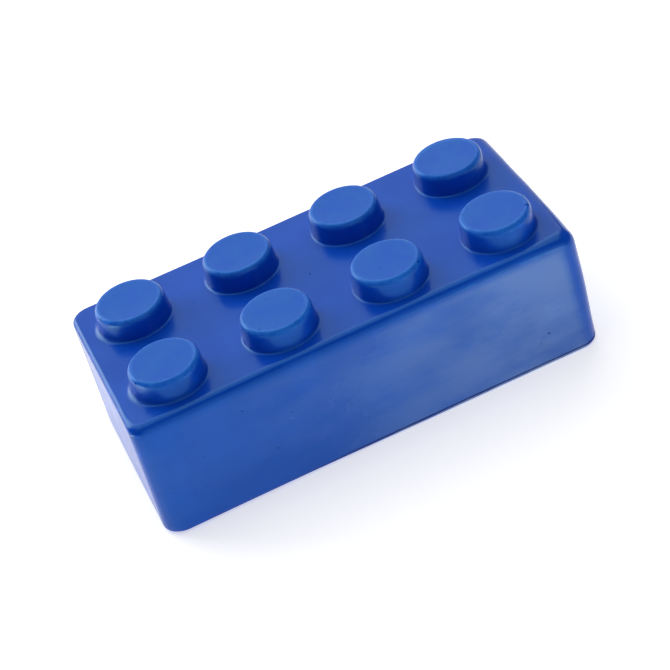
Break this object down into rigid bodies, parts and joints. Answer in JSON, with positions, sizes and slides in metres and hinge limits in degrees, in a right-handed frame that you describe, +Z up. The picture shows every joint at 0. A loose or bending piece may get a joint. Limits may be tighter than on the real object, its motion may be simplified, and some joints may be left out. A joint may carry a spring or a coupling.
{
  "type": "detailing clay block",
  "caption": "Brick-shaped moulded clay block with round studs on top as a finger grip, drafted sides and a thin clay working face underneath.",
  "frame": {"origin": "centre of the flat working face, on the surface that the block stands on", "axes": "+X along the four columns of studs (the longest side), +Y across the two rows of studs, +Z up through the studs"},
  "size_m": [0.1012, 0.0512, 0.0331],
  "materials": {
    "skin": "satin self-skinned polyurethane, one colour right through",
    "foam": "matte cellular foam",
    "clay": "soft satin polymer clay"
  },
  "bodies": {
    "root": {"moulded_skin": "skin", "foam_core": "foam", "clay_face": "clay"}
  },
  "joints": []
}
